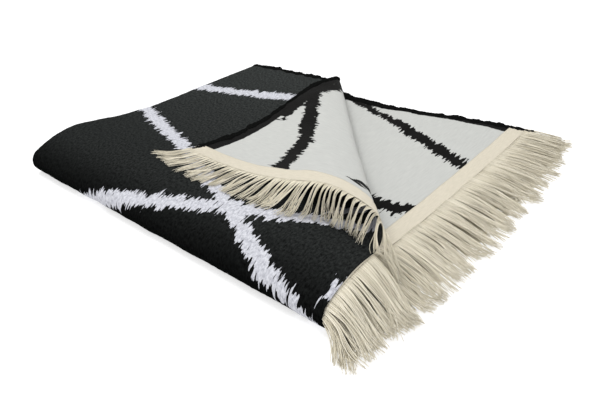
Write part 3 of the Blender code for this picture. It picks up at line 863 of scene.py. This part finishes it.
def support(end, v, rolled, point):
    """Height of what lies under the strings rooted at v, below a point of the plan."""
    x, y = point[:, 0], point[:, 1]
    past = np.maximum(x - END_OUTER, 0)
    share = np.where(on_top(v), 1.0, np.interp(near_heading(v), RISING_TURN, (0, 1)))
    pile = end["lower"] + (end["upper"] - end["lower"]) * share
    pile = pile * (1 - PILE_SINKS * ease(past / FRINGE_LENGTH))
    surface = top_height(np.minimum(x, END_OUTER), y) + CLOTH / 2
    surface = surface + (CORNER_SINKS_TO - surface) * ease(past / CORNER_SINKS_OVER)
    return np.where(rolled, surface, pile)


def step_on(point, bearing, level, fall):
    """The next point of a path: so far on the level along a bearing, and so far down."""
    return point + np.stack((level * np.cos(bearing), level * np.sin(bearing), -fall), axis=1)


def drape(end, v, rolled, root, way, turning, length):
    """Bend the middle of each lock down from its root till it rests on what is under it."""
    bearing = np.arctan2(way[:, 1], way[:, 0])
    pitch = np.arcsin(np.clip(-way[:, 2], -1, 1))
    step = length / STRING_STATIONS
    ahead = step_on(root, bearing, LOOK_AHEAD * length, 0 * length)
    drop = root[:, 2] - support(end, v, rolled, ahead)
    slant = np.arcsin(np.clip(drop / (LANDING * length), 0, 0.97))
    path = [root]
    bearings = [bearing]
    for k in range(1, STRING_STATIONS + 1):
        share = k / STRING_STATIONS
        down = pitch + (slant - pitch) * ease(share * length / BEND_REACH)
        turned = bearing + turning[0] * min(1, SWING_RATE * share)
        turned = turned + turning[1] * (share - 0.5) * share
        ahead = step_on(path[-1], turned, step * np.cos(down), step * np.sin(down))
        rest = support(end, v, rolled, ahead) + RESTS_OFF
        landed = ahead[:, 2] < rest
        fall = np.clip(path[-1][:, 2] - rest, -STEEPEST * step, STEEPEST * step)
        laid = step_on(path[-1], turned, np.sqrt(step ** 2 - fall ** 2), fall)
        path.append(np.where(landed[:, None], laid, ahead))
        bearings.append(turned)
    return np.stack(path, axis=1), np.stack(bearings, axis=1)


def smooth_along(path):
    """Soften the middle points of paths a little."""
    softened = path.copy()
    softened[:, 1:-1] = (path[:, :-2] + 2 * path[:, 1:-1] + path[:, 2:]) / 4
    return softened


def lock_edges(end, random):
    """Where the strings part into locks along an end: wider ones on the turned corner."""
    edges = [0.0]
    while edges[-1] < THROW_WIDTH - LOCK_WIDTHS[0]:
        over = past_crease(*folded_twice(end["edge"], edges[-1], 0.0)[:2])
        turned = end["way"] < 0 and on_top(edges[-1]) and over > 0
        widths = ROLLED_LOCK_WIDTHS if turned else LOCK_WIDTHS
        edges.append(edges[-1] + random.uniform(*widths))
    edges[-1] = THROW_WIDTH
    return np.array(edges)


def lock_paths(end, middle, rolled, random):
    """The middle path of each lock, and the way in which its strings lie side by side."""
    locks = len(middle)
    root, way, beside = root_frames(end, middle)
    in_fold = np.sin(np.radians(np.clip(near_heading(middle), 0, 180)))
    spread = np.where(rolled, ROLLED_SWING, LEVEL_SWING + FOLD_SWING * in_fold)
    swing = random.normal(0, 1, locks) * np.radians(spread)
    fan = np.where(rolled, np.interp(middle, *CORNER_FAN), np.interp(middle, *FAN))
    swing = swing - np.radians(fan)
    length = FRINGE_LENGTH - LOCK_SPREAD * random.uniform(0, 1, locks)
    length = length * np.where(rolled, np.interp(middle, *ROLLED_KEPT), np.interp(middle, *KEPT))
    curl = random.normal(0, CURL, locks)
    path, bearing = drape(end, middle, rolled, root, way, (swing, curl), length)
    across = np.stack((-np.sin(bearing), np.cos(bearing), 0 * bearing), axis=-1)
    same_way = np.sign(np.sum(across * beside[:, None], axis=-1, keepdims=True))
    across = across * np.where(same_way == 0, 1, same_way)
    levelled = ease(np.linspace(0, 1, STRING_STATIONS + 1) / LIES_FLAT)[None, :, None]
    return path, unit(beside[:, None] * (1 - levelled) + across * levelled)


def sideways(off, rolled, lock, random):
    """How far each string lies beside the middle of its lock, all along it."""
    s = np.linspace(0, 1, STRING_STATIONS + 1)
    locks, total = len(rolled), len(lock)
    gather = random.uniform(*GATHERED, locks) * np.where(rolled, 1, LEVEL_GATHER)
    tied = np.where(rolled, ROLLED_TIED, LEVEL_TIED)[lock, None]
    splay = random.uniform(*SPLAY, locks) + np.where(rolled, ROLLED_SPLAY, 0.0)
    parting = ease((s - SPLAYS_FROM) / (1 - SPLAYS_FROM))
    held = 1 - gather[lock, None] * ease(s / tied) + splay[lock, None] * parting
    loose = np.where(rolled[lock], ROLLED_STRAY, LEVEL_STRAY)
    stray = (random.normal(0, 1, total) * loose)[:, None] * s ** 1.3
    turns = s * random.uniform(*WAVE_TURNS, total)[:, None]
    turns = turns + random.uniform(0, 1, total)[:, None]
    wave = random.uniform(0, STRING_WAVE, total)[:, None] * np.sin(2 * np.pi * turns)
    return off[:, None] * held + stray + wave * s


def fringe_strings(end, random):
    """Paths, radii, tones and sides of all the strings of one end, gathered in locks."""
    edges = lock_edges(end, random)
    middle = (edges[1:] + edges[:-1]) / 2
    over = past_crease(*folded_twice(end["edge"], middle, 0.0)[:2])
    rolled = (end["way"] < 0) & on_top(middle) & (over > 0)
    pitch = np.where(rolled, ROLLED_PITCH, STRING_PITCH)
    count = np.maximum(3, np.round(np.diff(edges) / pitch)).astype(int)
    lock = np.repeat(np.arange(len(middle)), count)
    total = len(lock)
    first = np.concatenate(([0], np.cumsum(count)[:-1]))
    order = np.arange(total) - first[lock]
    share = (order + random.uniform(0.1, 0.9, total)) / count[lock]
    v = edges[:-1][lock] + np.diff(edges)[lock] * share

    path, side = lock_paths(end, middle, rolled, random)
    lateral = sideways(v - middle[lock], rolled, lock, random)
    points = path[lock] + side[lock] * lateral[..., None]
    # Each string starts at its own root and joins its lock further on
    s = np.linspace(0, 1, STRING_STATIONS + 1)
    level = random.uniform(0, 1, total)
    own_root, _, _ = root_frames(end, v)
    shift = own_root - points[:, 0]
    points = points + shift[:, None] * (1 - ease(s / LEAVES_ROOT))[None, :, None]
    # Most are cut a little shorter than their lock
    cut = random.uniform(0, LENGTH_SPREAD / FRINGE_LENGTH, total)
    cut = cut * (random.uniform(0, 1, total) < TRIMMED_SHARE)
    points = points[:, :1] + (points - points[:, :1]) * (1 - cut[:, None] * s)[..., None]
    points[..., 2] += LOCK_HEIGHT * level[:, None] * ease((s - 0.04) / 0.4)
    points[:, 0, 2] += (level - 0.5) * HEADER_THICK
    points = smooth_along(points)
    radius = random.uniform(*STRING_RADII, total)
    points[..., 2] = np.maximum(points[..., 2], radius[:, None] * 0.9)
    tone = np.clip(random.normal(*STRING_TONE, total), 0, 1)
    return points, radius, tone, side[lock]


def string_rings(points, radius, side):
    """Rings of corners round the paths of strings, a little thinner towards the tips."""
    along = unit(np.gradient(points, axis=1))
    beside = unit(side - along * np.sum(side * along, axis=-1, keepdims=True))
    above = np.cross(along, beside)
    angle = np.arange(STRING_SIDES) * 2 * np.pi / STRING_SIDES + np.pi / 2
    s = np.linspace(0, 1, points.shape[1])
    thick = radius[:, None] * (1 - TIP_THINNER * s ** 3)
    ring = beside[:, :, None] * np.cos(angle)[:, None]
    ring = ring + above[:, :, None] * np.sin(angle)[:, None]
    return points[:, :, None] + ring * thick[..., None, None]


def fringe(end, material, random):
    """All the strings of one end as one piece."""
    points, radius, tone, side = fringe_strings(end, random)
    rings = string_rings(points, radius, side)
    along = np.linspace(0, FRINGE_LENGTH, points.shape[1])
    around = np.arange(STRING_SIDES) * 2 * np.pi / STRING_SIDES
    places = np.broadcast_arrays(along[None, :, None], radius[:, None, None] * around)
    flat = np.stack(places, axis=-1)
    tones = np.broadcast_to(tone[:, None, None], rings.shape[:3])
    return tube_piece("strings_" + end["name"], rings, material, flat, tones)


# The studio

# How strongly the white sky fills in the shadows
SKY_STRENGTH = 0.75


def camera():
    """The camera of the photo, fitted to its outlines."""
    azimuth, elevation = math.radians(CAMERA_AZIMUTH), math.radians(CAMERA_ELEVATION)
    back = Vector((math.sin(azimuth) * math.cos(elevation),
                   -math.cos(azimuth) * math.cos(elevation), math.sin(elevation)))
    turn = (-back).to_track_quat("-Z", "Y") @ Matrix.Rotation(
        math.radians(-CAMERA_ROLL), 4, "Z").to_quaternion()
    data = bpy.data.cameras.new("camera")
    data.lens = CAMERA_LENS
    data.sensor_width = CAMERA_SENSOR
    data.clip_start = 0.01
    made = bpy.data.objects.new("camera", data)
    made.location = CAMERA_PLACE
    made.rotation_mode = "QUATERNION"
    made.rotation_quaternion = turn
    bpy.context.scene.collection.objects.link(made)
    bpy.context.scene.camera = made


def area_light(name, place, target, size, power):
    """A round soft light at a place, turned to a target: its width in metres, power in watts."""
    data = bpy.data.lights.new(name, "AREA")
    data.shape = "DISK"
    data.size = size
    data.energy = power
    made = bpy.data.objects.new(name, data)
    made.location = place
    made.rotation_mode = "QUATERNION"
    made.rotation_quaternion = (Vector(target) - Vector(place)).to_track_quat("-Z", "Y")
    bpy.context.scene.collection.objects.link(made)


def studio():
    """A white floor under a soft key light from the upper left, with a pale sky to fill."""
    bpy.ops.mesh.primitive_plane_add(size=FLOOR_SIDE, location=(0, 0, 0))
    floor = bpy.context.object
    floor.name = "studio_floor"
    floor.data.materials.append(studio_floor())
    area_light("key", place=(-0.7, -0.2, 2.2), target=(0, 0, 0), size=1.1, power=26)
    area_light("fill", place=(1.7, -0.9, 1.8), target=(0, 0, 0), size=1.6, power=18)
    world = bpy.data.worlds.new("sky")
    world.use_nodes = True
    sky = world.node_tree.nodes["Background"]
    sky.inputs["Color"].default_value = srgb("#ffffff")
    sky.inputs["Strength"].default_value = SKY_STRENGTH
    bpy.context.scene.world = world
    bpy.context.scene.view_settings.view_transform = "Standard"


bpy.ops.object.select_all(action="DESELECT")
camera()
studio()

cloth = woven_cloth()
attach(cloth, "root")
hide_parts("throw_cloth")

trims = []
tape = header_tape()
cotton = fringe_cotton()
for number, end in enumerate(ENDS):
    pieces = [header(end, tape), fringe(end, cotton, np.random.RandomState(40 + number))]
    for piece in pieces:
        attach(piece, "root")
        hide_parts(end["node"])
    trims += pieces

pile = selvedge_pile()
for name, edge, inward, seed in SELVEDGES:
    piece = selvedge(name, edge, inward, seed, pile)
    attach(piece, "root")
    trims.append(piece)
